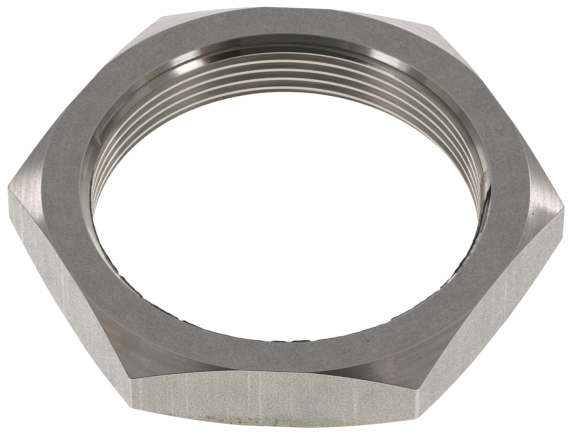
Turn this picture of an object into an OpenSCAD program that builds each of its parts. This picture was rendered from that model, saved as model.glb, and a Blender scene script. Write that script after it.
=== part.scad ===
// Thin hexagonal lock nut, turned and threaded from stainless hexagon bar.
// The nut lies on its lower face, with the thread's axis along Z and the origin at the middle of that face.

/* [Hexagon bar] */
// Size across the flats, which the spanner grips
across_flats = 36; // [34:0.5:60]
// Radius along the six upright edges of the drawn bar
edge_radius = 0.4; // [0.1:0.1:1.5]
// Height of the nut
nut_height = 6.4; // [4.5:0.1:20]

/* [Turned faces] */
// How far the rim of each turned face reaches past the middle of the flats
face_reach = 0.1; // [0:0.05:0.5]
// Slope of the corner chamfer below the upper face, in degrees
upper_chamfer_angle = 30; // [15:1:45]
// Slope of the corner chamfer above the lower face, in degrees
lower_chamfer_angle = 30; // [15:1:45]

/* [Thread] */
// Nominal diameter of the thread
thread_diameter = 30; // [12:0.5:31]
// Pitch of the thread
thread_pitch = 1; // [0.5:0.25:2]

/* [Countersinks] */
// How far the mouth of the upper countersink lies outside the nominal thread, on the radius
upper_mouth_margin = 0.25; // [0.1:0.05:0.6]
// Angle between the wall of the upper countersink and the axis, in degrees
upper_sink_angle = 30; // [25:1:60]
// How far the mouth of the lower countersink lies outside the nominal thread, on the radius
lower_mouth_margin = 0.1; // [0:0.05:0.6]
// Angle between the wall of the lower countersink and the axis, in degrees
lower_sink_angle = 45; // [25:1:60]

/* [Hidden] */

// A 60 degree internal thread is cut this many pitches deep, measured on the radius
thread_depth_per_pitch = 0.54127;
// Cutters run this far past the faces that they open
overrun = 1;
// Smoothness of the preview
$fn = 180;

sides = 6;
corner_step = 360 / sides;
half_flats = across_flats / 2;
face_radius = half_flats + face_reach;

// Each upright edge is rounded about a line that lies one edge radius inside both flats
edge_centre = (half_flats - edge_radius) / cos(corner_step / 2);

bore_radius = thread_diameter / 2 - thread_depth_per_pitch * thread_pitch;
upper_mouth = thread_diameter / 2 + upper_mouth_margin;
lower_mouth = thread_diameter / 2 + lower_mouth_margin;
upper_sink_depth = (upper_mouth - bore_radius) / tan(upper_sink_angle);
lower_sink_depth = (lower_mouth - bore_radius) / tan(lower_sink_angle);

// Where the rounding of the edge at the given angle runs out into a flat, on either side of it
function edge_end(angle, side) = [
    edge_centre * cos(angle) + edge_radius * cos(angle + side * corner_step / 2),
    edge_centre * sin(angle) + edge_radius * sin(angle + side * corner_step / 2)
];

// The drawn bar: six flats, and a round edge between each two of them
module hexagon_bar() {
    flats = [
        for (corner = [0 : sides - 1])
            for (side = [-1, 1])
                edge_end(corner * corner_step, side)
    ];
    linear_extrude(height = nut_height)
        polygon(flats);
    for (corner = [0 : sides - 1])
        rotate([0, 0, corner * corner_step])
            translate([edge_centre, 0, 0])
                cylinder(h = nut_height, r = edge_radius);
}

// What the turning leaves at one face: a flat disc, and a cone that falls away from its rim across the corners
module turned_face(chamfer_angle) {
    cylinder(h = nut_height, r1 = face_radius, r2 = face_radius + nut_height / tan(chamfer_angle));
}

// The hole: the bore at the thread's crests, opened by a countersink at each face
module threaded_hole() {
    rotate_extrude()
        polygon([
            [0, -overrun],
            [lower_mouth + overrun * tan(lower_sink_angle), -overrun],
            [bore_radius, lower_sink_depth],
            [bore_radius, nut_height - upper_sink_depth],
            [upper_mouth + overrun * tan(upper_sink_angle), nut_height + overrun],
            [0, nut_height + overrun]
        ]);
}

module lock_nut() {
    color([0.62, 0.6, 0.58])
        difference() {
            intersection() {
                hexagon_bar();
                turned_face(lower_chamfer_angle);
                translate([0, 0, nut_height])
                    mirror([0, 0, 1])
                        turned_face(upper_chamfer_angle);
            }
            threaded_hole();
        }
}

lock_nut();
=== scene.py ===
# %% [markdown]
# Looks of a thin stainless steel lock nut
#
# The real nut is one piece: a slice of hexagon bar, faced and chamfered on a lathe, countersunk and
# tapped with a fine thread. The frame gives its true size as a plain solid with a smooth bore.
# This lesson works the visible surface out again as one closed mesh with the thread in it,
# and then gives each machined surface the finish that its tool left.

import math

import bmesh
import bpy
import numpy as np
from mathutils import Matrix, Vector


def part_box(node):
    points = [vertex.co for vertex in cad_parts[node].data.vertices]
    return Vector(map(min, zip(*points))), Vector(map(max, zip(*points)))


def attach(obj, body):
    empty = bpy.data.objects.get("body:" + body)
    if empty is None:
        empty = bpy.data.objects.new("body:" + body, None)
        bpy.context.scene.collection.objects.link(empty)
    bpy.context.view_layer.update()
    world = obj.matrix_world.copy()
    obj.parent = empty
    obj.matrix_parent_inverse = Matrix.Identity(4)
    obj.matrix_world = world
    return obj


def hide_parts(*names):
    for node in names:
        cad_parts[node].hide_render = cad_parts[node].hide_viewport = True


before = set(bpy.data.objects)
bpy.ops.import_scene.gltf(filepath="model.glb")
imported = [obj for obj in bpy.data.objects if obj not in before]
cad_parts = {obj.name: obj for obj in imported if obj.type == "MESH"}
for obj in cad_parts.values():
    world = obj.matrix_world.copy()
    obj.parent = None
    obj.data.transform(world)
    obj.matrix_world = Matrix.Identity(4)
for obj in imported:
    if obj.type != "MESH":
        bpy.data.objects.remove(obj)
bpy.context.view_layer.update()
low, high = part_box("lock_nut")
MM = 0.001
nut_height = (high.z - low.z) / MM
half_flats = (high.y - low.y) / MM / 2
print("the frame holds a nut", round(2 * half_flats, 3), "mm across flats", round(nut_height, 3), "mm high")

# %% [markdown]
# The camera
#
# The photograph looks down on the nut at about 49 degrees from almost square on to one flat, with a
# long lens. A camera could be aimed with a Track To constraint, but a matrix worked out from the view
# direction needs nothing live in the scene, and it takes the small roll of the real camera too.

# %% Camera
view_turn = math.radians(2.5507)
view_rise = 49.153
view_roll = math.radians(0.2066)
view_distance = 0.37823
view_lens = 317.4
look_at = Vector((0.00003, 0.0, 0.00253))


def direction(turn, rise):
    """Unit vector at a turn from the camera's right-hand side and a rise above the floor, in degrees."""
    turn = math.radians(turn) + view_turn
    rise = math.radians(rise)
    return Vector((math.cos(rise) * math.cos(turn), math.cos(rise) * math.sin(turn), math.sin(rise)))


camera_data = bpy.data.cameras.new("camera")
camera_data.lens = view_lens
camera_data.sensor_width = 36.0
camera_data.clip_start = 0.01
camera_data.clip_end = 20.0
camera = bpy.data.objects.new("camera", camera_data)
bpy.context.scene.collection.objects.link(camera)
camera_place = view_distance * direction(-90.0, view_rise)
aim = (look_at - camera_place).to_track_quat("-Z", "Y").to_matrix().to_4x4()
camera.matrix_world = Matrix.Translation(camera_place) @ aim @ Matrix.Rotation(view_roll, 4, "Z")
bpy.context.scene.camera = camera
bpy.context.scene.view_settings.view_transform = "Standard"
print("the camera stands", view_distance, "m away and looks down at", view_rise, "degrees")

# %% [markdown]
# The studio
#
# Bare metal shows little but its surroundings, so the studio is part of the finish. A pale sweep lies
# under the nut, four soft boxes stand low round it, and the room is grey, but dark behind the camera.
# The flats and the back chamfers mirror the sweep, the left and right chamfers mirror the rear boxes,
# and the turned face mirrors the room behind. The back of the countersink mirrors the two front boxes
# as bright bars, and between them the dark part of the room, which also darkens the front chamfers
# near the middle of the front flat. A picture of a whole studio could do it too, but boxes can be
# moved one at a time until each band of light lies in its place.
# Each box is an area lamp, whose brightness is its power over pi times its area.

# %% Nodes by name
def place(tree, kind, inputs=None, **settings):
    """Adds one node. Each input is a plain value or another node's output socket."""
    made = tree.nodes.new(kind)
    for name, value in settings.items():
        setattr(made, name, value)
    for key, value in (inputs or {}).items():
        if isinstance(value, bpy.types.NodeSocket):
            tree.links.new(value, made.inputs[key])
        else:
            made.inputs[key].default_value = value
    return made


def calc(tree, operation, *values, clamp=False):
    """Output of a Math node on one, two or three values."""
    made = place(tree, "ShaderNodeMath", dict(enumerate(values)), operation=operation, use_clamp=clamp)
    return made.outputs[0]


def times(tree, value, factor):
    """Product of two values."""
    return calc(tree, "MULTIPLY", value, factor)


def between(tree, value, start, end, low_value=0.0, high_value=1.0):
    """Output that runs smoothly from low_value to high_value while value goes from start to end."""
    made = place(tree, "ShaderNodeMapRange", {0: value, 1: start, 2: end, 3: low_value, 4: high_value},
                 interpolation_type="SMOOTHSTEP")
    return made.outputs[0]


# %% Room
pure_white = (1.0, 1.0, 1.0, 1.0)
room_grey = (0.375, 0.37, 0.365, 1.0)
room_dark = (0.05, 0.05, 0.05, 1.0)
dark_centre = direction(-90.0, 35.0)
dark_inner, dark_outer = math.cos(math.radians(38.0)), math.cos(math.radians(45.0))
world = bpy.data.worlds.new("studio")
world.use_nodes = True
tree = world.node_tree
tree.nodes.clear()
where = place(tree, "ShaderNodeTexCoord").outputs["Generated"]
nearness = place(tree, "ShaderNodeVectorMath", {0: where, 1: dark_centre}, operation="DOT_PRODUCT")
dark_share = between(tree, nearness.outputs["Value"], dark_outer, dark_inner)
room = place(tree, "ShaderNodeMix", {0: dark_share, 6: room_grey, 7: room_dark}, data_type="RGBA").outputs[2]
rays = place(tree, "ShaderNodeLightPath")
grey = place(tree, "ShaderNodeBackground", {"Color": room, "Strength": 1.0}).outputs[0]
white = place(tree, "ShaderNodeBackground", {"Color": pure_white, "Strength": 1.0}).outputs[0]
both = place(tree, "ShaderNodeMixShader", {0: rays.outputs["Is Camera Ray"], 1: grey, 2: white}).outputs[0]
place(tree, "ShaderNodeOutputWorld", {"Surface": both})
bpy.context.scene.world = world
print("the room is grey", room_grey[:3], "and dark behind the camera", room_dark[:3])

# %% Soft boxes
box_distance = 0.7
# Turn and rise in degrees, width and height in metres, brightness.
soft_boxes = {
    "rear_left_box": (138.5, 22.0, 0.16, 0.11, 1.3),
    "rear_right_box": (43.5, 24.5, 0.16, 0.12, 1.6),
    "front_left_box": (-142.0, 19.0, 0.234, 0.45, 1.9),
    "front_right_box": (-38.8, 19.0, 0.16, 0.45, 1.9),
}
for name, (box_turn, box_rise, width, height, brightness) in soft_boxes.items():
    lamp = bpy.data.lights.new(name, "AREA")
    lamp.shape = "RECTANGLE"
    lamp.size = width
    lamp.size_y = height
    lamp.energy = brightness * math.pi * width * height
    box = bpy.data.objects.new(name, lamp)
    bpy.context.scene.collection.objects.link(box)
    toward = direction(box_turn, box_rise)
    aim = (-toward).to_track_quat("-Z", "Y").to_matrix().to_4x4()
    box.matrix_world = Matrix.Translation(box_distance * toward) @ aim
print(len(soft_boxes), "soft boxes stand", box_distance, "m from the nut")

# %% [markdown]
# The sweep
#
# The nut lies on white paper. A floor lit until it is white would flood the nut with light, so what the
# camera and the metal see of the paper is lifted by a glow of its own, which keeps the nut's shadow,
# and to all other rays the paper is plain.

# %% Sweep
floor_half = 3.0
floor_height = -0.01 * MM
paper_plain = (0.85, 0.85, 0.85, 1.0)
paper_lit = (0.40, 0.40, 0.40, 1.0)
paper_glow = 0.92
sweep_mesh = bpy.data.meshes.new("sweep")
corners = [(x * floor_half, y * floor_half, floor_height) for x, y in ((-1, -1), (1, -1), (1, 1), (-1, 1))]
sweep_mesh.from_pydata(corners, [], [(0, 1, 2, 3)])
sweep = bpy.data.objects.new("sweep", sweep_mesh)
bpy.context.scene.collection.objects.link(sweep)
paper = bpy.data.materials.new("pale_sweep")
paper.use_nodes = True
tree = paper.node_tree
tree.nodes.clear()
rays = place(tree, "ShaderNodeLightPath")
seen = calc(tree, "MAXIMUM", rays.outputs["Is Camera Ray"], rays.outputs["Is Glossy Ray"])
seen = calc(tree, "MAXIMUM", seen, rays.outputs["Is Transmission Ray"])
plain = place(tree, "ShaderNodeBsdfDiffuse", {"Color": paper_plain}).outputs[0]
lit = place(tree, "ShaderNodeBsdfDiffuse", {"Color": paper_lit}).outputs[0]
glow = place(tree, "ShaderNodeEmission", {"Color": pure_white, "Strength": paper_glow}).outputs[0]
bright = place(tree, "ShaderNodeAddShader", {0: lit, 1: glow}).outputs[0]
surface = place(tree, "ShaderNodeMixShader", {0: seen, 1: plain, 2: bright}).outputs[0]
place(tree, "ShaderNodeOutputMaterial", {"Surface": surface})
sweep_mesh.materials.append(paper)
print("the sweep is", 2 * floor_half, "m wide")

# %% [markdown]
# The columns round the bar
#
# Every surface of the nut goes once round the axis, so one grid can hold them all: columns at fixed
# turns round the axis, rows along the section. The outline of the bar is a hexagon whose six upright
# edges are rounded by the die. Columns are placed by the outline: a few on each rounding, and the rest
# spread over the flats, closer together near the edges.

# %% Outline of the bar
edge_radius = 0.4
edge_centre = (half_flats - edge_radius) / math.cos(math.pi / 6)
columns_on_edge = 8
columns_on_flat = 140
crowding = 0.7


def column_turns():
    """Turns of the columns, in radians, from 0 to a full turn, both ends included.

    On a rounding the column at normal angle a lies at atan2(e sin a, c + e cos a), with e the edge's
    radius and c the distance of its centre. On a flat the turns run from one tangent to the next,
    crowded towards both ends by subtracting a share of sin(2 pi t).
    """
    bend = np.linspace(0.0, np.pi / 6, columns_on_edge // 2 + 1)
    rounding = np.arctan2(edge_radius * np.sin(bend), edge_centre + edge_radius * np.cos(bend))
    step = np.linspace(0.0, 1.0, columns_on_flat + 1)[1:-1]
    crowded = step - crowding * np.sin(2 * np.pi * step) / (2 * np.pi)
    flat = rounding[-1] + crowded * (np.pi / 3 - 2 * rounding[-1])
    sector = np.concatenate([rounding, flat, np.pi / 3 - rounding[::-1][:-1]])
    turns = np.concatenate([sector + k * np.pi / 3 for k in range(6)])
    return np.append(turns, 2 * np.pi)


def turn_from_edge(turn):
    """Turn from the nearest upright edge of the bar, in radians and less than 0 before that edge."""
    return np.mod(turn + np.pi / 6, np.pi / 3) - np.pi / 6


def bar_radius(turn):
    """Distance from the axis to the bar's outline: the nearer of the flat and the rounded edge."""
    from_edge = turn_from_edge(turn)
    to_flat = half_flats / np.cos(np.pi / 6 - np.abs(from_edge))
    inside = np.maximum(edge_radius ** 2 - (edge_centre * np.sin(from_edge)) ** 2, 0.0)
    to_edge = edge_centre * np.cos(from_edge) + np.sqrt(inside)
    tangent = np.arctan2(edge_radius / 2, edge_centre + edge_radius * math.cos(math.pi / 6))
    return np.where(np.abs(from_edge) <= tangent, to_edge, to_flat)


turn = column_turns()
outline = bar_radius(turn)
print(len(turn) - 1, "columns, outline from", round(outline.min(), 3), "to", round(outline.max(), 3), "mm")

# %% [markdown]
# The turned outside of the section
#
# In section the outside is a face, a 30 degree chamfer and the flat, with each edge broken by a small
# radius. Where the chamfer runs out near the middle of a flat, the two edges become one. A ball rolled
# inside the section gives both cases: its centre path is the section moved inwards by its radius, and
# where the chamfer is shorter than the ball allows, the two corners of that path fall together.
# A thing that holds only for some turns, as where the corner at the right has been rubbed, is a window
# round the axis: 1 between two turns, 0 away from them, and smooth at its sides.

# %% Windows round the axis
def seen_turn(turn):
    """Turn in degrees from the camera's right-hand side, from -180 to 180."""
    return np.mod(np.degrees(turn - view_turn) + 180.0, 360.0) - 180.0


def window(turn, start, end, fade):
    """1 while the seen turn is between start and end and 0 away from them, with smooth sides, in degrees."""
    off = np.abs(np.mod(seen_turn(turn) - (start + end) / 2 + 180.0, 360.0) - 180.0) - (end - start) / 2
    share = np.clip((fade - off) / fade, 0.0, 1.0)
    return share * share * (3.0 - 2.0 * share)


def windows(turn, parts):
    """Sum of windows. Each part is (share, start, end, fade)."""
    return sum(share * window(turn, start, end, fade) for share, start, end, fade in parts)


# %% Upper half of the outside
face_radius = half_flats + 0.1
chamfer_angle = math.radians(30.0)
edge_break = 0.08
rubbed_break = 0.16


def broken_edges(outline, rim_ball, corner_ball):
    """Rows (radius, depth) from the face over the chamfer to the flat, as arrays of rows by columns.

    The balls' centres are Q1 = (face_radius - ball tan(angle / 2), ball) and Q2 on r = outline - ball,
    and a row is a centre plus ball times (sin b, -cos b), with b going from 0 to 90 degrees.
    """
    angle = chamfer_angle
    wall = outline - corner_ball
    first = np.minimum(face_radius - rim_ball * np.tan(angle / 2), wall)
    fall = np.maximum((wall - face_radius) * np.tan(angle) + corner_ball / np.cos(angle), corner_ball)
    over_face = np.linspace(0.0, angle, 4)[:, None]
    over_edge = np.linspace(angle, np.pi / 2, 6)[:, None]
    upper = (first + rim_ball * np.sin(over_face), rim_ball - rim_ball * np.cos(over_face) + 0 * outline)
    lower = (wall + corner_ball * np.sin(over_edge), fall - corner_ball * np.cos(over_edge))
    return upper, lower


corner_break = edge_break + (rubbed_break - edge_break) * window(turn, -13.0, -4.0, 3.0)
(rim_r, rim_d), (corner_r, corner_d) = broken_edges(outline, edge_break, corner_break)
low_corner_r, low_corner_d = broken_edges(outline, edge_break, edge_break)[1]
print("chamfer reaches", round(corner_d.max(), 3), "mm below the face at the bar's edges")

# %% [markdown]
# The hole and its thread
#
# A tap leaves a helical groove in the wall of the hole: a 60 degree trapezium, whose crest is a quarter
# of the pitch wide and whose root is an eighth. A screw modifier or a swept profile would cross the
# countersinks untidily. Here each groove's rows are worked out from the section at each column:
# where its two flanks leave the countersinks or the wall, where the root starts and where it ends.
# A groove that has climbed out of the metal closes to a line, and its rows are merged later.
# The upper countersink has been opened by a worn tool: a steep cone, then a flatter one at its foot.

# %% Countersinks
pitch = 1.0
thread_radius = 15.0
crest_radius = thread_radius - 0.54127 * pitch
flank_slope = (thread_radius - crest_radius) / (5 / 16 * pitch)
upper_mouth = 15.25
upper_taper = 0.5
foot_depth = 0.92
bore_depth = 1.27
foot_radius = upper_mouth - foot_depth * upper_taper
foot_taper = (foot_radius - crest_radius) / (bore_depth - foot_depth)
lower_mouth = 15.1
lower_taper = 1.0
mouth_break = 0.13
upper_bend = math.pi / 2 - math.atan(upper_taper)
lower_bend = math.pi / 2 - math.atan(lower_taper)
hole_top = mouth_break * math.tan(upper_bend / 2) * math.sin(upper_bend)
hole_bottom = nut_height - mouth_break * math.tan(lower_bend / 2) * math.sin(lower_bend)


def wall_radius(depth):
    """Radius of the hole without its groove: the bore, or a countersink where that is wider."""
    upper = np.minimum(upper_mouth - depth * upper_taper, crest_radius + (bore_depth - depth) * foot_taper)
    lower = lower_mouth - (nut_height - depth) * lower_taper
    return np.maximum(np.maximum(upper, lower), crest_radius)


print("the bore has radius", round(crest_radius, 3), "mm from", bore_depth, "mm below the upper face")

# %% Grooves
groove_depth_at_back = 0.73
groove_turn_at_back = math.radians(92.5)
grooves = np.arange(-1, 8)[:, None]
tear_lift = 0.72
smear_depth = 0.4
runout_lift = 0.05
lip_below_mouth = 0.02
lip_at_foot = 1.20
lip_at_tear = 0.60


def torn_groove(turn):
    """True for the groove that lies on the upper countersink at the right, on both sides of the seam."""
    return grooves == (turn > np.pi)


def groove_middles(turn):
    """Depth of each groove's middle: start + pitch (k - turn / 2 pi), less the lift of the torn one.

    The metal above that groove has torn out towards the rim, so it rises by up to tear_lift and ends.
    """
    middle = groove_depth_at_back + pitch * (grooves - (turn - groove_turn_at_back) / (2 * np.pi))
    seen = seen_turn(turn)
    tear = np.clip((seen + 6.0) / 6.0, 0.0, 1.0) * np.clip((5.0 - seen) / 3.0, 0.0, 1.0)
    return middle - tear_lift * tear * tear * torn_groove(turn)


def groove_roots(turn):
    """Radius of each groove's root. A smear of metal has filled the torn groove beside the tear.

    Where the first groove runs out on the countersink at the left it is a little shallower.
    """
    smear = smear_depth * window(turn, 0.5, 6.0, 1.5) * torn_groove(turn)
    return thread_radius - smear - runout_lift * window(turn, 110.0, 176.0, 20.0) * (grooves == 0)


def lip_depths(turn):
    """Depth at which the thin burr stands out of the wall of the hole.

    At the front it hangs at the mouth, at the left it has run down to the foot of the countersink and at
    the right down to the torn groove.
    """
    left = window(turn, 163.0, 222.0, 9.0)
    right = window(turn, -34.0, -7.0, 7.0)
    torn_edge = lip_at_tear - seen_turn(turn) * pitch / 360.0
    return hole_top + lip_below_mouth + (lip_at_foot - hole_top) * left + (torn_edge - hole_top) * right


lip_depth = lip_depths(turn)
print("the burr stands", round(lip_depth.min(), 3), "to", round(lip_depth.max(), 3), "mm below the face")

# %% Rows of the hole
guard_strip = 0.04
guard_fade = math.radians(1.5)


def hole_rows(turn):
    """Rows (depth, radius) down the hole, as arrays of rows by columns.

    The upper flank is r = crest + slope (s - a) and the lower flank r = crest + slope (d - s), so each end
    of the visible groove is the innermost of its crossings with the bore, the countersinks and the root.
    The row above the first groove keeps a guard strip away from it, so that the painted shade in it has a
    clean edge.
    The strip starts from nothing at the seam, because the groove's row has no partner across the seam.
    """
    middle, root = groove_middles(turn), groove_roots(turn)
    a, d = middle - 3 / 8 * pitch, middle + 3 / 8 * pitch
    reach = (root - crest_radius) / flank_slope
    over_cone = (upper_mouth - crest_radius + flank_slope * a) / (flank_slope + upper_taper)
    over_foot = (bore_depth * foot_taper + flank_slope * a) / (flank_slope + foot_taper)
    above_lower = lower_mouth - nut_height * lower_taper - crest_radius
    over_lower = (above_lower + flank_slope * a) / (flank_slope - lower_taper)
    root_top = np.minimum((upper_mouth - root) / upper_taper, bore_depth - (root - crest_radius) / foot_taper)
    start = np.maximum.reduce([a, np.minimum(over_cone, over_foot), over_lower, root_top])
    to_cone = (crest_radius - upper_mouth + flank_slope * d) / (flank_slope - upper_taper)
    to_foot = (flank_slope * d - bore_depth * foot_taper) / (flank_slope - foot_taper)
    below_lower = crest_radius - lower_mouth + nut_height * lower_taper
    to_lower = (below_lower + flank_slope * d) / (flank_slope + lower_taper)
    root_bottom = nut_height - (lower_mouth - root) / lower_taper
    end = np.minimum.reduce([d, np.maximum(to_cone, to_foot), to_lower, root_bottom])
    gone = start > end
    start, end = np.where(gone, (start + end) / 2, start), np.where(gone, (start + end) / 2, end)
    start, end = np.clip(start, lip_depth, hole_bottom), np.clip(end, lip_depth, hole_bottom)
    root_start, root_end = np.clip(a + reach, start, end), np.clip(d - reach, start, end)
    next_start = np.vstack([start[1:], np.full_like(turn, hole_bottom)[None]])
    guard = guard_strip * np.minimum(turn / guard_fade, 1.0)
    last = np.maximum(end, next_start - guard * (grooves == -1))
    foot = np.clip(foot_depth, end, last)
    bore_start = np.clip(bore_depth, end, last)
    bore_end = np.clip(nut_height - (lower_mouth - crest_radius) / lower_taper, end, last)
    depth = np.stack([start, root_start, root_end, end, foot, bore_start, bore_end], axis=1)
    wall = wall_radius(depth)
    for row, at in ((1, root_start), (2, root_end)):
        cut = np.minimum(crest_radius + flank_slope * np.minimum(at - a, d - at), root)
        wall[:, row] = np.maximum(wall[:, row], cut)
    top, bottom = lip_depth[None], np.full_like(turn, hole_bottom)[None]
    depth = np.vstack([top, depth.reshape(-1, len(turn)), bottom])
    return depth, np.vstack([wall_radius(top), wall.reshape(-1, len(turn)), wall_radius(bottom)])


hole_depth, hole_radius = hole_rows(turn)
narrow, wide = round(hole_radius.min(), 3), round(hole_radius.max(), 3)
print("the thread takes", len(hole_depth), "rows, radius", narrow, "to", wide)

# %% [markdown]
# One closed mesh
#
# The bands of the section are laid end to end: from the upper mouth over the face, the chamfer and the
# flat to the lower face, and back up through the hole. Each row names the finish of the strip that
# follows it, and its gap, the distance to the nearest edge in mm, which wear will need.
# The grid is closed along the section by its indices. Round the axis the thread's rows
# arrive one groove further down than they set out, so there the seam is closed by merging the doubles,
# which also removes the strips that have no width.

# %% Rows of the mouths and faces
def mouth_rows(mouth, bend, ball):
    """Rows (radius, depth) of the small radius between a face and a countersink that bends away from it.

    The centre lies ball tan(bend / 2) outside the mouth and ball below the face, and a row is the
    centre plus ball times (-sin b, -cos b).
    """
    b = np.linspace(bend, 0.0, 5)[1:, None]
    centre = mouth + ball * math.tan(bend / 2)
    return centre - ball * np.sin(b) + 0 * turn, ball - ball * np.cos(b) + 0 * turn


def face_rows(inner, outer):
    """Rows (radius, depth, distance to the edge) of a flat face, closer together near both its edges."""
    near, middle = 0.05, (inner + outer) / 2
    radius = np.stack([inner + near, inner + 5 * near, middle, outer - 5 * near, outer - near])
    return radius, 0 * radius, np.minimum(radius - inner, outer - radius)


upper_mouth_r, upper_mouth_d = mouth_rows(upper_mouth, upper_bend, mouth_break)
lower_mouth_r, lower_mouth_d = mouth_rows(lower_mouth, lower_bend, mouth_break)
face_r, face_d, face_gap = face_rows(upper_mouth_r[-1], rim_r[0])
lower_face_r, lower_face_d, lower_face_gap = face_rows(lower_mouth_r[-1], rim_r[0])
print("the upper face is", round(float((rim_r[0] - upper_mouth_r[-1]).max()), 3), "mm wide")

# %% Rows of the chamfers and flats
slope_shares = [0.03, 0.12, 0.5, 0.88, 0.97]
flat_shares = [0.01, 0.05, 0.25, 0.5, 0.75, 0.95, 0.99]
far = 1.0


def blend_rows(start, end, shares):
    """Rows on the straight lines between two rows, at the given shares of the way."""
    shares = np.asarray(shares)[:, None]
    return start + shares * (end - start)


def slope_rows(corner_r, corner_d):
    """Rows (radius, depth, distance to the edge) of a chamfer, from its rim to its corner."""
    radius = blend_rows(rim_r[-1], corner_r[0], slope_shares)
    depth = blend_rows(rim_d[-1], corner_d[0], slope_shares)
    length = np.hypot(corner_r[0] - rim_r[-1], corner_d[0] - rim_d[-1])
    return radius, depth, np.asarray(slope_shares)[:, None] * length


slope_r, slope_d, slope_gap = slope_rows(corner_r, corner_d)
low_slope_r, low_slope_d, low_slope_gap = slope_rows(low_corner_r, low_corner_d)
flat_top, flat_foot = corner_d[-1], nut_height - low_corner_d[-1]
flat_r = blend_rows(corner_r[-1], low_corner_r[-1], flat_shares)
flat_d = blend_rows(flat_top, flat_foot, flat_shares)
worn_edge = 0.003 + 0.0035 * window(turn, -64.5, -60.5, 1.0)
upright_gap = np.clip((np.abs(turn_from_edge(turn)) - worn_edge) * edge_centre, 0.0, far)
flat_gap = np.minimum(np.minimum(flat_d - flat_top, flat_foot - flat_d), upright_gap)
print("flats are", round(float((flat_foot - flat_top).max()), 3), "mm high at the middle")

# %% [markdown]
# The burr
#
# The facing tool and the countersink have rolled a thin lip of metal into the hole, and handling
# has broken pieces off it. Its near black colour is painted shade of its rim. It could be a mesh of its own,
# laid on the edge, but then two skins would lie on each other. Here it is four more rows of the same grid.
# They stand at the depth worked out above, and reach into the hole by a sum of windows, less a notch at each
# broken place, made ragged by sines.

# %% Rows of the burr
burr_windows = (
    (0.06, 176.0, 297.0, 8.0), (0.07, 208.0, 240.0, 8.0),
    (0.24, -57.0, -4.0, 6.0), (0.08, 264.5, 276.5, 0.7),
)
# The middle and the width of each notch, in degrees.
notches = ((213.0, 1.0), (240.0, 0.9), (265.5, 1.6), (271.0, 1.0), (277.6, 1.0), (299.0, 2.0), (318.0, 0.4))
notch_share, notch_fade = 0.75, 0.6
# The share of the reach, the waves round the nut and the shift in radians of each sine.
ragged_sines = ((0.10, 37.0, 0.0), (0.09, 83.0, 1.0), (0.08, 149.0, 2.0))
root_above, root_slope = 0.03, 0.30
thick_share, thick_reach = 0.2, 0.1
bright_share, sag_share, tip_share = 0.4, 0.6, 0.96
tip_over, bright_over = 0.005, 0.012


def burr_rows(turn):
    """Rows (radius, depth) of the burr: its tip, the tip's upper side, the end of its bright root, its root.

    Its root is as bright as the countersink. At the right it slopes down to the torn groove over a
    longer way, and sags where it begins.
    """
    reach = windows(turn, burr_windows)
    for middle, width in notches:
        notch = window(turn, middle - width / 2, middle + width / 2, notch_fade)
        reach = reach * (1.0 - notch_share * notch)
    reach = reach * sum((size * np.sin(rate * turn + shift) for size, rate, shift in ragged_sines), 1.0)
    foot = wall_radius(lip_depth)
    upper = np.maximum(lip_depth - root_above - root_slope * window(turn, -34.0, -19.0, 6.0), hole_top)
    thick = thick_share * np.minimum(reach, thick_reach)
    bright = bright_share * window(turn, -57.0, -7.0, 5.0)
    sag = sag_share * reach * window(turn, -60.0, -36.0, 6.0)
    over = lip_depth - 2.0 * thick
    radius = [foot - reach, foot - tip_share * reach, foot - bright * reach, wall_radius(upper)]
    depth = [lip_depth + thick + sag, over - tip_over + sag, over - bright_over + bright * sag, upper]
    return np.stack(radius), np.stack(depth)


burr_r, burr_d = burr_rows(turn)
cone_shares = [0.7, 0.35]
cone_top_r, cone_top_d = np.full_like(turn, wall_radius(hole_top)), np.full_like(turn, hole_top)
cone_r = blend_rows(cone_top_r, burr_r[-1], cone_shares)
cone_d = blend_rows(cone_top_d, burr_d[-1], cone_shares)
print("the burr reaches", round(float((wall_radius(lip_depth) - burr_r[0]).max()), 3), "mm into the hole")

# %% Bands of the section
FACE, CHAMFER, FLAT, SINK, CREST, FLANK, BURR = range(7)
on_edge = 0 * turn
off_edge = on_edge + far
bands = [
    (upper_mouth_r, upper_mouth_d, FACE, on_edge),
    (face_r, face_d, FACE, face_gap),
    (rim_r, rim_d, CHAMFER, on_edge),
    (slope_r, slope_d, CHAMFER, slope_gap),
    (corner_r, corner_d, FLAT, on_edge),
    (flat_r, flat_d, FLAT, flat_gap),
    (low_corner_r[::-1], nut_height - low_corner_d[::-1], CHAMFER, on_edge),
    (low_slope_r[::-1], nut_height - low_slope_d[::-1], CHAMFER, low_slope_gap[::-1]),
    (rim_r[::-1], nut_height - rim_d[::-1], FACE, on_edge),
    (lower_face_r[::-1], nut_height - lower_face_d[::-1], FACE, lower_face_gap[::-1]),
    (lower_mouth_r[::-1], nut_height - lower_mouth_d[::-1], SINK, on_edge),
    (hole_radius[::-1], hole_depth[::-1], SINK, off_edge),
    (burr_r, burr_d, BURR, off_edge),
    (cone_r, cone_d, SINK, off_edge),
    (cone_top_r[None], cone_top_d[None], FACE, on_edge),
]
radius = np.vstack([band[0] for band in bands])
depth = np.vstack([band[1] for band in bands])
finish = np.concatenate([np.full(len(band[0]), band[2]) for band in bands])
edge_gap = np.vstack([np.broadcast_to(band[3], band[0].shape) for band in bands])
groove_parts = [FLANK, FLANK, FLANK, SINK, SINK, CREST, SINK]
burr_parts = [BURR, BURR, SINK, SINK]
corner_at = sum(len(band[0]) for band in bands[:4])
hole_at = sum(len(band[0]) for band in bands[:-4])
burr_at = hole_at + len(hole_depth)
hole_parts = np.array(groove_parts * len(grooves))
finish[hole_at:burr_at] = np.concatenate([hole_parts[::-1], [SINK, BURR]])
finish[burr_at:burr_at + len(burr_parts)] = burr_parts
print(len(radius), "rows in", len(bands), "bands")
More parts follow.
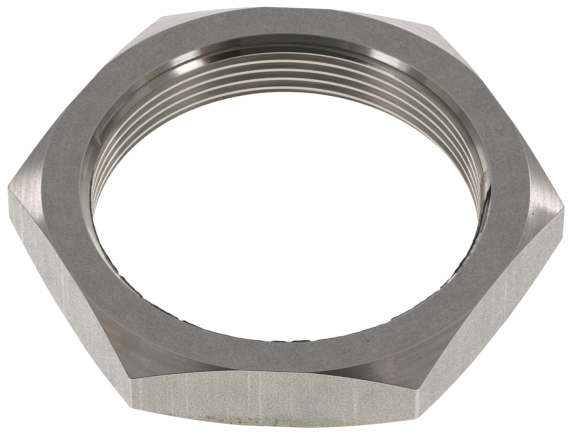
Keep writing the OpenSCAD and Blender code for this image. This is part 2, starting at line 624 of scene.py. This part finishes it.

# %% [markdown]
# The tone of each flat
#
# Drawn bar keeps its skin unevenly, so one flat is a little brighter or browner than the next. On the flats
# that face the camera the tone also holds painted shade, darkest on the front flat, which would mirror darker
# floor. Six materials could say so, but one number for each column, which the mesh carries, leaves it at one.

# %% Tone and painted shade of each flat
# Partly painted shade: the tones of the flats facing the camera also stand in for the shade they would
# mirror.
flat_tones = np.array([0.6, 0.3, 0.8, 0.75, 0.0, 0.1])
flat_number = (turn / (np.pi / 3)).astype(int) % 6
flat_tone_and_shade_columns = flat_tones[flat_number]
print("flats from dull to bright:", np.argsort(flat_tones))

# %% [markdown]
# Stain, grime and painted light
#
# Coolant has dried on the countersink in patches. Where the countersink would mirror shadowed floor it is
# darkened as painted shade, and where it would mirror the bright floor it and the thread are made paler as
# painted reflection. The first groove is darkened as painted shade, and the upper edges of the flats are
# darker. A painted picture would need a UV map. Here each kind is one number for each point of the grid, a
# sum of windows times a share for each row, and the materials read it. Rows that fall together carry the same
# number, because the merged point keeps only one of them, and the darkening would otherwise break up into
# dashes.

# %% Stain and painted light of the countersink
# Positive shares darken the countersink, partly as a dried film and, from 153 to 193 degrees, as painted
# shade where it would mirror shadowed floor. Negative shares make it paler as painted reflection of the
# floor.
sink_film_and_light_windows = (
    (1.0, 153.0, 193.0, 6.0), (-0.7, 166.0, 174.0, 4.0), (0.5, 125.0, 134.0, 1.5), (0.35, 141.0, 149.0, 2.0),
    (1.0, 104.5, 114.5, 2.0), (0.6, 46.0, 55.0, 1.5), (0.3, 33.0, 39.0, 2.0), (1.0, -3.0, 28.0, 6.0),
    (0.7, 65.5, 71.0, 1.5), (-1.0, 206.0, 240.0, 6.0), (-1.0, -60.0, -24.0, 6.0),
)
# At the foot the left is darkened further as painted shade, and the right is made paler as painted
# reflection.
foot_film_and_light_windows = ((0.9, 168.0, 204.0, 6.0), (-1.8, -3.0, 14.0, 5.0))
foot_from, foot_fade = 0.5, 0.3
rubbed_rows = np.array([0.0, 0.2, 0.8, 1.0, 1.0])[:, None]
slope_at = corner_at - len(slope_r)
sink_film_and_painted_light = windows(turn, sink_film_and_light_windows)
foot_share = np.clip((depth[hole_at:] - foot_from) / foot_fade, 0.0, 1.0)
film_rub_and_painted_light = np.zeros_like(radius)
film_rub_and_painted_light[hole_at:] = sink_film_and_painted_light + windows(turn, foot_film_and_light_windows) * foot_share
film_rub_and_painted_light[slope_at:corner_at] = window(turn, -15.0, -7.0, 3.0) * rubbed_rows
# The print counts turns darkened by film and painted shade.
print("stained turns of the countersink:", int((sink_film_and_painted_light > 0.5).sum()), "columns")

# %% Grime and painted shade
# Darker along the upper edges of the flats and at the foot of the chamfers near the front.
corner_darkening = ((0.65, -177.0, -74.0, 5.0), (0.25, -110.0, -78.0, 6.0))
slope_darkening = ((0.65, -98.0, -86.0, 4.0), (0.65, -158.0, -147.0, 4.0))
groove_rows = np.array([0.55, 1.0, 1.0])[:, None]
first_start = burr_at - 2 - len(groove_parts)
second_start = first_start - len(groove_parts)
shade_and_grime = np.zeros_like(radius)
shade_and_grime[corner_at:corner_at + 3] = windows(turn, corner_darkening)
shade_and_grime[slope_at - 1:corner_at] = windows(turn, slope_darkening)
# Painted shade: the first groove is darkened where light can't reach into it.
shade_and_grime[first_start - 2:first_start + 1] = window(turn, 8.0, 140.0, 9.0) * groove_rows
strip = depth[second_start - 1] - depth[second_start]
shade_and_grime[second_start - 1] = window(turn, 165.0, 357.0, 8.0) * np.clip(strip / guard_strip, 0.0, 1.0)
print("grime lies on", int((shade_and_grime.max(axis=1) > 0).sum()), "rows")

# %% Oil, and painted reflection on the thread
sink_oil = ((1.0, 94.0, 114.0, 3.0), (-1.0, 74.0, 90.0, 2.0))
chamfer_oil = ((0.96, -138.0, -127.5, 2.5), (0.48, -50.0, -38.0, 6.0))
# Painted reflection: the thread is made paler where it would mirror the bright floor.
thread_reflection_windows = ((0.8, 153.0, 174.0, 5.0), (1.0, 3.0, 17.0, 4.0))
thread_reflection_from, thread_reflection_fade = 0.8, 0.2
oil = np.zeros_like(radius)
oil[hole_at:] = windows(turn, sink_oil)
oil[corner_at - 3:corner_at] = windows(turn, chamfer_oil)
thread_painted_reflection = windows(turn, thread_reflection_windows) * np.clip((depth - thread_reflection_from) / thread_reflection_fade, 0.0, 1.0)
# The print counts the columns with painted reflection on the thread.
print("the thread is wiped at", int((thread_painted_reflection.max(axis=0) > 0.5).sum()), "columns")

# %% [markdown]
# The mesh
#
# The arrays go into the mesh whole. What they carry goes in before the doubles are merged, so that each
# point keeps its own numbers. Smooth shading with sharp edges past 25 degrees keeps the thread crisp.

# %% Mesh
same_place = 2e-7
sharp_from = math.radians(25.0)


def nut_mesh(radius, depth):
    """Closed mesh of the grid: x = r cos t, y = r sin t, z = height - depth, in metres."""
    rows, columns = radius.shape
    places = np.stack([radius * np.cos(turn), radius * np.sin(turn), nut_height - depth], axis=-1) * MM
    number = np.arange(rows * columns).reshape(rows, columns)
    below = np.roll(number, -1, axis=0)
    quads = np.stack([number[:, :-1], below[:, :-1], below[:, 1:], number[:, 1:]], axis=-1).reshape(-1, 4)
    mesh = bpy.data.meshes.new("lock_nut_skin")
    mesh.vertices.add(rows * columns)
    mesh.vertices.foreach_set("co", places.reshape(-1).astype(np.float32))
    mesh.loops.add(quads.size)
    mesh.loops.foreach_set("vertex_index", quads.reshape(-1).astype(np.int32))
    mesh.polygons.add(len(quads))
    mesh.polygons.foreach_set("loop_start", np.arange(0, quads.size, 4, dtype=np.int32))
    mesh.polygons.foreach_set("material_index", np.repeat(finish, columns - 1).astype(np.int32))
    mesh.update(calc_edges=True)
    mesh.validate()
    return mesh


skin = nut_mesh(radius, depth)
carried = {"edge_gap": edge_gap, "flat_tone_and_shade": flat_tone_and_shade_columns, "shade_and_grime": shade_and_grime, "film_rub_and_painted_light": film_rub_and_painted_light, "oil": oil,
           "thread_painted_reflection": thread_painted_reflection}
for name, values in carried.items():
    points = np.broadcast_to(values, radius.shape).reshape(-1).astype(np.float32)
    skin.attributes.new(name, "FLOAT", "POINT").data.foreach_set("value", points)
merged = bmesh.new()
merged.from_mesh(skin)
bmesh.ops.remove_doubles(merged, verts=merged.verts, dist=same_place)
bmesh.ops.dissolve_degenerate(merged, edges=merged.edges, dist=same_place)
open_edges = sum(1 for e in merged.edges if len(e.link_faces) != 2)
volume = merged.calc_volume(signed=True) / MM ** 3
merged.to_mesh(skin)
merged.free()
skin.set_sharp_from_angle(angle=sharp_from)
skin.polygons.foreach_set("use_smooth", np.ones(len(skin.polygons), dtype=bool))
triangles = sum(len(p.vertices) - 2 for p in skin.polygons)
print("mesh:", triangles, "triangles,", open_edges, "edges without two faces,", round(volume, 1), "mm3")

# %% [markdown]
# The marks of the tools
#
# Every surface of the nut is the same steel, and only its tool differs: a facing tool leaves fine
# rings, a drawing die leaves lines along the bar, a tap drags its flanks. So the marks are node groups
# with a spacing and a depth, built once and placed in each finish with its own values.

# %% Helpers of the marks
def new_group(name, inputs, output):
    """Empty shader node group. inputs maps a name to a default value, and output names its one result."""
    group = bpy.data.node_groups.new(name, "ShaderNodeTree")
    for socket, value in inputs.items():
        made = group.interface.new_socket(socket, in_out="INPUT", socket_type="NodeSocketFloat")
        made.default_value = value
    group.interface.new_socket(output, in_out="OUTPUT", socket_type="NodeSocketFloat")
    return group, place(group, "NodeGroupInput").outputs, place(group, "NodeGroupOutput").inputs[output]


def noise(tree, vector, scale, detail=2.0, rough=0.5):
    """Value of a Noise Texture, about 0.5 on the average."""
    inputs = {"Vector": vector, "Scale": scale, "Detail": detail, "Roughness": rough}
    return place(tree, "ShaderNodeTexNoise", inputs).outputs[0]


def uneven(tree, where, per_mm, detail):
    """Noise of the place, from about -0.5 to 0.5."""
    return calc(tree, "SUBTRACT", noise(tree, where, per_mm / MM, detail, 0.6), 0.5)


def vector_of(tree, x, y, z):
    """Vector put together from three values."""
    return place(tree, "ShaderNodeCombineXYZ", {0: x, 1: y, 2: z}).outputs[0]


def length_of(tree, x, y):
    """Square root of x squared plus y squared."""
    return calc(tree, "SQRT", calc(tree, "ADD", times(tree, x, x), times(tree, y, y)))


def object_place(tree):
    """The place on the object, as a vector."""
    return place(tree, "ShaderNodeTexCoord").outputs["Object"]


def axes_of(tree, where):
    """x, y and z of a place."""
    axes = place(tree, "ShaderNodeSeparateXYZ", {0: where}).outputs
    return axes[0], axes[1], axes[2]


# %% Shared marks
def make_turning_marks():
    """Rings round the axis: a noise of the distance from the axis and of the height.

    Arcs per turn is how often a ring changes on its way round.
    """
    group, given, result = new_group("Turning marks", {"Rings per mm": 8.0, "Arcs per turn": 2.0}, "Height")
    x, y, z = axes_of(group, object_place(group))
    away = length_of(group, x, y)
    per_mm = calc(group, "DIVIDE", given["Rings per mm"], MM)
    section = calc(group, "ADD", times(group, away, per_mm), times(group, z, per_mm))
    round_x = times(group, calc(group, "DIVIDE", x, away), given["Arcs per turn"])
    round_y = times(group, calc(group, "DIVIDE", y, away), given["Arcs per turn"])
    rings = noise(group, vector_of(group, section, round_x, round_y), 1.0, 3.0, 0.6)
    group.links.new(rings, result)
    return group


def make_drawn_lines():
    """Lines along the bar: a noise of the place across the axis, stretched long in height."""
    group, given, result = new_group("Drawn lines", {"Lines per mm": 5.0, "Length in mm": 6.0}, "Height")
    x, y, z = axes_of(group, object_place(group))
    per_mm = calc(group, "DIVIDE", given["Lines per mm"], MM)
    per_length = calc(group, "DIVIDE", 1.0 / MM, given["Length in mm"])
    section = vector_of(group, times(group, x, per_mm), times(group, y, per_mm), times(group, z, per_length))
    group.links.new(noise(group, section, 1.0, 3.0, 0.6), result)
    return group


def make_grain():
    """Even grain of a given size."""
    group, given, result = new_group("Grain", {"Grains per mm": 6.0}, "Height")
    per_mm = calc(group, "DIVIDE", given["Grains per mm"], MM)
    group.links.new(noise(group, object_place(group), per_mm, 2.0, 0.6), result)
    return group


def make_edge_wear():
    """Mask that is 1 on an edge and fades over a width from it, unevenly.

    The distance to the edge is the mesh's edge_gap in mm, less a noise times the raggedness.
    """
    group, given, result = new_group("Edge wear", {"Width in mm": 0.1, "Raggedness": 0.5}, "Mask")
    gap = place(group, "ShaderNodeAttribute", attribute_name="edge_gap").outputs["Fac"]
    ragged = times(group, uneven(group, object_place(group), 2.0, 3.0), given["Raggedness"])
    shifted = calc(group, "SUBTRACT", gap, times(group, ragged, given["Width in mm"]))
    group.links.new(between(group, shifted, given["Width in mm"], 0.0), result)
    return group


def make_spot():
    """Mask of one spot on the upper half of the nut, with a ragged outline.

    The distance from the spot's middle, less a noise times the raggedness, is compared with its radius.
    """
    inputs = {"X in mm": 0.0, "Y in mm": 0.0, "Radius in mm": 0.1, "Raggedness": 0.5}
    group, given, result = new_group("Spot", inputs, "Mask")
    where = object_place(group)
    x, y, z = axes_of(group, where)
    off_x = calc(group, "SUBTRACT", calc(group, "DIVIDE", x, MM), given["X in mm"])
    off_y = calc(group, "SUBTRACT", calc(group, "DIVIDE", y, MM), given["Y in mm"])
    share = calc(group, "DIVIDE", length_of(group, off_x, off_y), given["Radius in mm"])
    share = calc(group, "SUBTRACT", share, times(group, uneven(group, where, 1.5, 2.0), given["Raggedness"]))
    upper_half = calc(group, "GREATER_THAN", z, 3.0 * MM)
    group.links.new(times(group, between(group, share, 1.2, 0.8), upper_half), result)
    return group


turning_marks = make_turning_marks()
drawn_lines = make_drawn_lines()
grain = make_grain()
edge_wear = make_edge_wear()
spot = make_spot()
print("shared marks:", turning_marks.name, drawn_lines.name, grain.name, edge_wear.name, spot.name)

# %% [markdown]
# How a finish is put together
#
# A finish starts from one colour and one roughness. Each layer of marks shifts the colour, and may
# shift the roughness and dent the surface too. Then come the stains, the wear of the edges, and the grime,
# which also holds painted shade. Turned surfaces also smear what they mirror across their rings, which the
# shader's anisotropy
# gives: its own tangent runs round the axis, and a quarter turn lays the smear across it.

# %% Steel
wear_raggedness = 1.2
shade_and_grime_share = 0.12
across_rings = 0.25


def from_group(tree, group, inputs):
    """Result of a group with the given inputs."""
    made = tree.nodes.new("ShaderNodeGroup")
    made.node_tree = group
    for name, value in inputs.items():
        made.inputs[name].default_value = value
    return made.outputs[0]


def attribute(tree, name):
    """Value of one of the mesh's own attributes."""
    return place(tree, "ShaderNodeAttribute", attribute_name=name).outputs["Fac"]


def scaled(tree, colour, factor):
    """The colour times a factor that changes over the surface."""
    return place(tree, "ShaderNodeVectorMath", {0: colour, "Scale": factor}, operation="SCALE").outputs[0]


def blended(tree, share, colour, other):
    """The colour where the share is 0 and the other where it is 1."""
    return place(tree, "ShaderNodeMix", {0: share, 6: colour, 7: (*other, 1.0)}, data_type="RGBA").outputs[2]


def tinted(tree, paint, share, shade):
    """The colour times a shade where the share is 1, and as it is where the share is 0."""
    tint = blended(tree, share, pure_white, shade)
    return place(tree, "ShaderNodeVectorMath", {0: paint, 1: tint}, operation="MULTIPLY").outputs[0]


def layer(group, inputs, deep=0.0, shade=(1.0, 1.0), rougher=0.0, over=(0.3, 0.7)):
    """One kind of mark: its depth in mm, its factors on the colour and its change of roughness.

    The factors hold where the mark's height is at the two ends of over.
    """
    return group, inputs, deep, shade, rougher, over


def steel(name, colour, roughness, smear, layers, worn=None, change=None):
    """Metal with marks.

    layers come from layer(), worn is (width in mm, colour, roughness) of the edges, and change is a
    function of the tree, colour and roughness that returns both as its own marks have changed them.
    """
    material = bpy.data.materials.new(name)
    material.use_nodes = True
    tree = material.node_tree
    tree.nodes.clear()
    paint = place(tree, "ShaderNodeRGB").outputs[0]
    paint.default_value = (*colour, 1.0)
    rough = place(tree, "ShaderNodeValue").outputs[0]
    rough.default_value = roughness
    normal = None
    for group, inputs, deep, shade, rougher, over in layers:
        height = from_group(tree, group, inputs)
        paint = scaled(tree, paint, between(tree, height, *over, *shade))
        if rougher:
            rough = calc(tree, "ADD", rough, between(tree, height, *over, rougher, -rougher))
        if deep:
            linked = {"Height": height, "Distance": deep * MM, "Strength": 1.0}
            if normal is not None:
                linked["Normal"] = normal
            normal = place(tree, "ShaderNodeBump", linked).outputs[0]
    if change:
        paint, rough = change(tree, paint, rough)
    if worn:
        width, worn_colour, worn_rough = worn
        mask = from_group(tree, edge_wear, {"Width in mm": width, "Raggedness": wear_raggedness})
        paint = blended(tree, mask, paint, worn_colour)
        rough = calc(tree, "ADD", rough, times(tree, mask, worn_rough - roughness))
    # Painted shade in the first groove, and darker along the upper edges of the flats.
    paint = scaled(tree, paint, between(tree, attribute(tree, "shade_and_grime"), 0.0, 1.0, 1.0, shade_and_grime_share))
    metal = {"Base Color": paint, "Roughness": rough, "Metallic": 1.0, "Anisotropic": smear,
             "Anisotropic Rotation": across_rings}
    if normal is not None:
        metal["Normal"] = normal
    shader = place(tree, "ShaderNodeBsdfPrincipled", metal)
    place(tree, "ShaderNodeOutputMaterial", {"Surface": shader.outputs[0]})
    return material


# %% [markdown]
# Stains and painted light of each surface
#
# Each surface has its own dirt. The flats kept some of the drawing scale and stood in dust, and those that
# face the camera also hold painted shade. The chamfers have brown blotches and a few marks. The countersink
# has its film of coolant, with painted shade and painted reflection, and the thread has painted reflection. A
# stain is a shade that multiplies the colour under a mask, so the tool marks show through it as they do on
# the metal.
# A mask is a noise, a spot at a place, or a number that the mesh carries.

# %% Stains of the flats
# Painted shade in part: this tint also darkens the front flats in place of the shade they would mirror.
dull_and_painted_shade_tint = (0.79, 0.76, 0.73)
foot_shade = (0.86, 0.88, 0.78)
cloud_shade = (0.91, 0.885, 0.905)
speck_shade = (0.38, 0.37, 0.34)
scratch_shade = (1.20, 1.19, 1.18)
scratch_places = (-7.36, -6.28, -1.0)
blotches_per_mm, clouds_per_mm, specks_per_mm = 0.35, 0.22, 3.0
blotch_change = 0.15


def flat_stains(tree, paint, rough):
    """Duller and browner where the flat kept its drawing scale, and darker where its tone holds painted
    shade.

    On the front flat there is dirt in a ragged strip at the foot, and a few upright scratches.
    """
    where = object_place(tree)
    x, y, z = axes_of(tree, where)
    blotch = noise(tree, where, blotches_per_mm / MM, 2.0, 0.5)
    change = between(tree, blotch, 0.35, 0.65, -blotch_change, blotch_change)
    bright = calc(tree, "ADD", attribute(tree, "flat_tone_and_shade"), change)
    paint = tinted(tree, paint, calc(tree, "SUBTRACT", 1.0, bright, clamp=True), dull_and_painted_shade_tint)
    ragged = calc(tree, "ADD", z, times(tree, calc(tree, "SUBTRACT", blotch, 0.5), 2.0 * MM))
    front = calc(tree, "LESS_THAN", y, (0.1 - half_flats) * MM)
    foot = times(tree, between(tree, ragged, 1.5 * MM, 0.7 * MM), front)
    paint = tinted(tree, paint, foot, foot_shade)
    cloud = noise(tree, where, clouds_per_mm / MM, 3.0, 0.7)
    paint = tinted(tree, paint, between(tree, cloud, 0.52, 0.66), cloud_shade)
    speckled = noise(tree, where, specks_per_mm / MM, 3.0, 0.7)
    specks = times(tree, foot, between(tree, speckled, 0.53, 0.62))
    specks = times(tree, specks, between(tree, x, 2.5 * MM, -0.5 * MM, 0.2, 1.0))
    for at in scratch_places:
        off = calc(tree, "ABSOLUTE", calc(tree, "SUBTRACT", x, at * MM))
        line = times(tree, between(tree, off, 0.07 * MM, 0.02 * MM), front)
        paint = tinted(tree, paint, line, scratch_shade)
    return tinted(tree, paint, specks, speck_shade), rough


# %% Stains of the face and the chamfers
oil_olive = (0.90, 0.86, 0.70)
oil_yellow = (1.08, 1.02, 0.86)
olive_per_mm = 0.28
olive_share = 0.4
rubbed_rough = 0.22
# x, y and radius in mm, and the shade.
face_spots = ((6.64, -14.83, 0.10, (0.45, 0.43, 0.42)),)
chamfer_spots = (
    (18.75, -3.7, 0.50, (0.88, 0.84, 0.79)),
    (18.34, -1.92, 0.10, (0.45, 0.42, 0.40)),
    (17.72, -3.95, 0.12, (1.55, 1.55, 1.55)),
    (7.9, -17.0, 0.85, (1.20, 1.14, 1.15)),
    (-10.5, -15.4, 0.80, (0.87, 0.88, 0.85)),
    (-9.2, -16.9, 0.45, (1.12, 1.07, 1.09)),
    (10.44, -15.8, 0.09, (0.70, 0.70, 0.70)),
)


def spotted(tree, paint, spots):
    """The colour with each spot's shade laid over it."""
    for x, y, size, shade in spots:
        mask = from_group(tree, spot, {"X in mm": x, "Y in mm": y, "Radius in mm": size, "Raggedness": 1.5})
        paint = tinted(tree, paint, mask, shade)
    return paint


def face_pit(tree, paint, rough):
    """A small pit that the facing tool left near the front edge."""
    return spotted(tree, paint, face_spots), rough


def chamfer_stains(tree, paint, rough):
    """Brown blotches, a film of oil, and rougher where the corner has been rubbed."""
    blotch = noise(tree, object_place(tree), olive_per_mm / MM, 3.0, 0.6)
    paint = tinted(tree, paint, between(tree, blotch, 0.55, 0.75, 0.0, olive_share), oil_olive)
    paint = tinted(tree, paint, attribute(tree, "oil"), oil_yellow)
    paint = spotted(tree, paint, chamfer_spots)
    return paint, calc(tree, "ADD", rough, times(tree, attribute(tree, "film_rub_and_painted_light"), rubbed_rough))


# %% Stains and painted light of the hole
oil_warm = (1.06, 0.97, 0.89)
oil_green = (0.90, 1.0, 0.88)
# Dried film and painted shade: darkens the countersink where the film is thick and where it would mirror
# shadowed floor.
sink_film_and_shade_tint = (0.58, 0.55, 0.53)
# Painted reflection: makes the countersink paler where it would mirror the bright floor.
sink_painted_reflection_tint = (1.30, 1.26, 1.17)
# Painted reflection: the factor that brightens the thread where it would mirror the floor.
thread_reflection_tint = (1.55, 1.52, 1.50)


def sink_stains_and_painted_light(tree, paint, rough):
    """A dried film of coolant: warm in places, green in others, brown where thick, darker as painted shade,
    and paler as painted reflection.
    """
    film, film_and_light = attribute(tree, "oil"), attribute(tree, "film_rub_and_painted_light")
    paint = tinted(tree, paint, between(tree, film, 0.0, 1.0), oil_warm)
    paint = tinted(tree, paint, between(tree, film, 0.0, -1.0), oil_green)
    paint = tinted(tree, paint, between(tree, film_and_light, 0.0, -1.0), sink_painted_reflection_tint)
    return tinted(tree, paint, between(tree, film_and_light, 0.0, 1.0), sink_film_and_shade_tint), rough


def thread_painted_reflection_tint(tree, paint, rough):
    """Paler where the thread is given a painted reflection of the bright floor."""
    return tinted(tree, paint, attribute(tree, "thread_painted_reflection"), thread_reflection_tint), rough


# %% [markdown]
# The finishes
#
# The face is nearly matt from a blunt facing tool, the chamfers are turned clean and mirror most
# sharply, the flats are drawn bar, and the countersink and the flanks smear what they mirror. The burr
# is near black as painted shade of its rim. One material for all could not tell them apart,
# so each has its own, in the order of the numbers FACE to BURR.

# %% Finishes
rings = {"Rings per mm": 7.0, "Arcs per turn": 3.0}
fine_rings = {"Rings per mm": 12.0, "Arcs per turn": 4.0}
wide_rings = {"Rings per mm": 3.0, "Arcs per turn": 1.0}
short_lines = {"Lines per mm": 3.0, "Length in mm": 8.0}
long_lines = {"Lines per mm": 1.6, "Length in mm": 25.0}
finishes = [
    steel("ground_face", (0.565, 0.54, 0.525), roughness=0.46, smear=0.0, layers=[
        layer(grain, {"Grains per mm": 9.0}, deep=0.003, shade=(0.82, 1.15), rougher=0.03),
        layer(grain, {"Grains per mm": 0.5}, shade=(0.96, 1.04)),
        layer(turning_marks, wide_rings, shade=(0.975, 1.025))],
        worn=(0.03, (0.61, 0.59, 0.57), 0.33), change=face_pit),
    steel("turned_chamfer", (0.59, 0.54, 0.528), roughness=0.16, smear=0.4, layers=[
        layer(turning_marks, rings, deep=0.002, shade=(0.85, 1.07), rougher=0.03),
        layer(grain, {"Grains per mm": 6.0}, shade=(0.93, 1.05), rougher=0.02)],
        worn=(0.04, (0.72, 0.70, 0.68), 0.22), change=chamfer_stains),
    steel("drawn_flat", (0.56, 0.54, 0.515), roughness=0.36, smear=0.0, layers=[
        layer(drawn_lines, short_lines, deep=0.002, shade=(0.97, 1.02), rougher=0.02),
        layer(drawn_lines, long_lines, shade=(1.0, 1.22), over=(0.60, 0.68)),
        layer(grain, {"Grains per mm": 8.0}, deep=0.003, shade=(0.70, 1.24), rougher=0.04)],
        worn=(0.05, (0.58, 0.56, 0.545), 0.28), change=flat_stains),
    steel("countersink", (0.60, 0.57, 0.54), roughness=0.19, smear=0.75, layers=[
        layer(turning_marks, fine_rings, deep=0.0008, shade=(0.85, 1.06), rougher=0.03)],
        change=sink_stains_and_painted_light),
    steel("thread_crest", (0.61, 0.575, 0.53), roughness=0.25, smear=0.0, layers=[
        layer(turning_marks, rings, shade=(0.95, 1.03), rougher=0.02)],
        change=thread_painted_reflection_tint),
    steel("thread_flank", (0.53, 0.485, 0.43), roughness=0.36, smear=0.9, layers=[
        layer(turning_marks, rings, deep=0.0015, shade=(0.74, 1.16), rougher=0.04)],
        change=thread_painted_reflection_tint),
    # Painted shade: the burr is coloured near black as the shade of its rim.
    steel("rolled_burr_painted_shade", (0.09, 0.08, 0.07), roughness=0.5, smear=0.0, layers=[
        layer(grain, {"Grains per mm": 6.0}, deep=0.003, shade=(0.6, 1.3), rougher=0.05)]),
]
for material in finishes:
    skin.materials.append(material)
nut = bpy.data.objects.new("lock_nut_skin", skin)
bpy.context.scene.collection.objects.link(nut)
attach(nut, "root")
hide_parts("lock_nut")
print("finishes:", [material.name for material in finishes])

# %% [markdown]
# Last step
#
# The view layer is updated once more at the end. The visible nut has to fill the frame's box
# and not pass it.

# %% Finish
bpy.context.view_layer.update()
